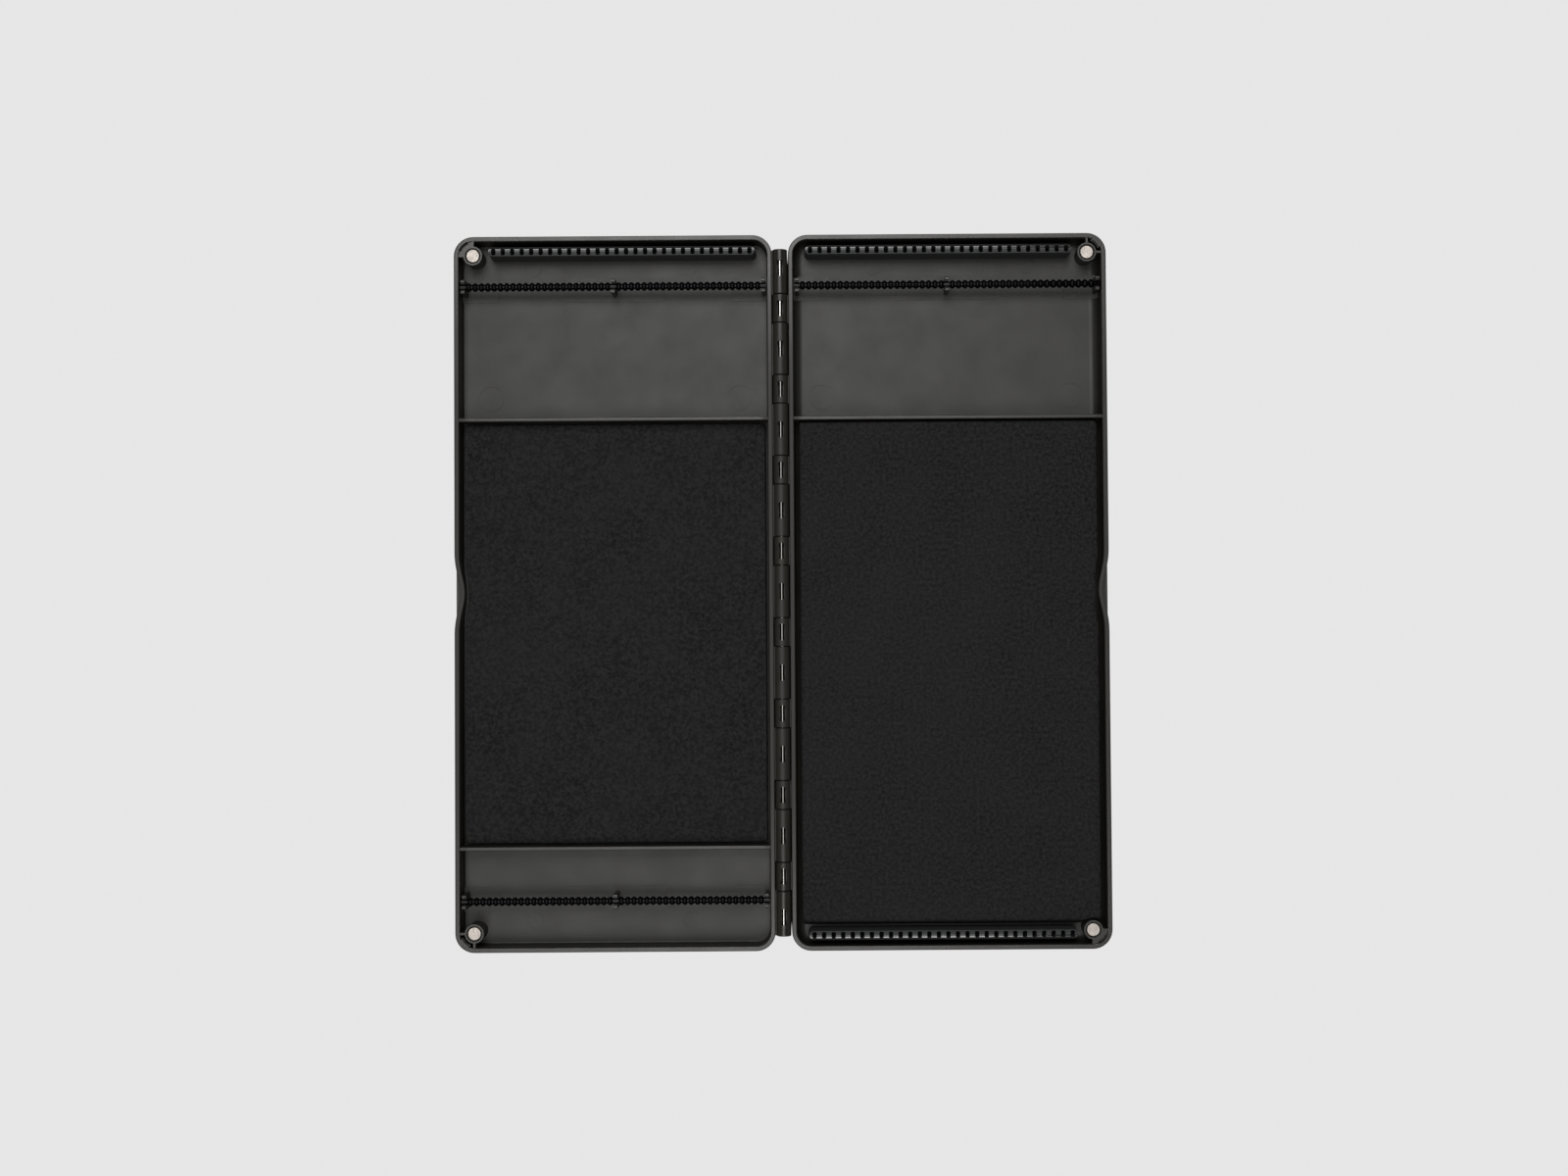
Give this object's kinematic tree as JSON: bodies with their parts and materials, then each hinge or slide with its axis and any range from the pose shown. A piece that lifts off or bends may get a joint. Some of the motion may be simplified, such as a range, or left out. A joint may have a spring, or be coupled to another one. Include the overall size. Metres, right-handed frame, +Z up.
{
  "type": "rig box",
  "caption": "Slim hinged fishing rig box lying open flat, with moulded trays, foam pads, slotted combs, beaded hook bars in clips and corner magnets.",
  "frame": {"origin": "under the middle of the hinge line, on the surface that the open box lies on", "axes": "X runs across the two trays with the left tray at -X, Y runs along the hinge towards the end that has a comb in both trays, Z is up"},
  "size_m": [0.32, 0.35, 0.0197],
  "materials": {
    "tray_plastic": "fine spark-eroded satin moulding, dark olive grey",
    "pin_steel": "drawn bright wire",
    "magnet_nickel": "bright nickel plate",
    "foam": "closed-cell foam, die cut, fine grain",
    "film": "double-sided adhesive film",
    "bar_plastic": "black moulding with a soft gloss",
    "clip_plastic": "satin moulding",
    "comb_plastic": "semi-gloss moulding"
  },
  "bodies": {
    "left_half": {"left_tray": "tray_plastic", "hinge_pin": "pin_steel", "left_top_magnet": "magnet_nickel", "left_bottom_magnet": "magnet_nickel", "left_foam_pad": "foam", "left_adhesive_film": "film", "left_top_bar": "bar_plastic", "left_bottom_bar": "bar_plastic", "left_top_comb": "comb_plastic", "left_top_hinge_side_clip": "clip_plastic", "left_top_centre_clip": "clip_plastic", "left_top_outer_clip": "clip_plastic", "left_bottom_hinge_side_clip": "clip_plastic", "left_bottom_centre_clip": "clip_plastic", "left_bottom_outer_clip": "clip_plastic"},
    "right_half": {"right_tray": "tray_plastic", "right_top_magnet": "magnet_nickel", "right_bottom_magnet": "magnet_nickel", "right_foam_pad": "foam", "right_adhesive_film": "film", "right_top_bar": "bar_plastic", "right_top_comb": "comb_plastic", "right_bottom_comb": "comb_plastic", "right_top_hinge_side_clip": "clip_plastic", "right_top_centre_clip": "clip_plastic", "right_top_outer_clip": "clip_plastic"}
  },
  "joints": [
    {"name": "tray_hinge", "type": "hinge", "parent": "left_half", "child": "right_half", "pos_m": [0, 0, 0.0161], "axis": [0, -1, 0], "range_deg": [0, 180]}
  ]
}
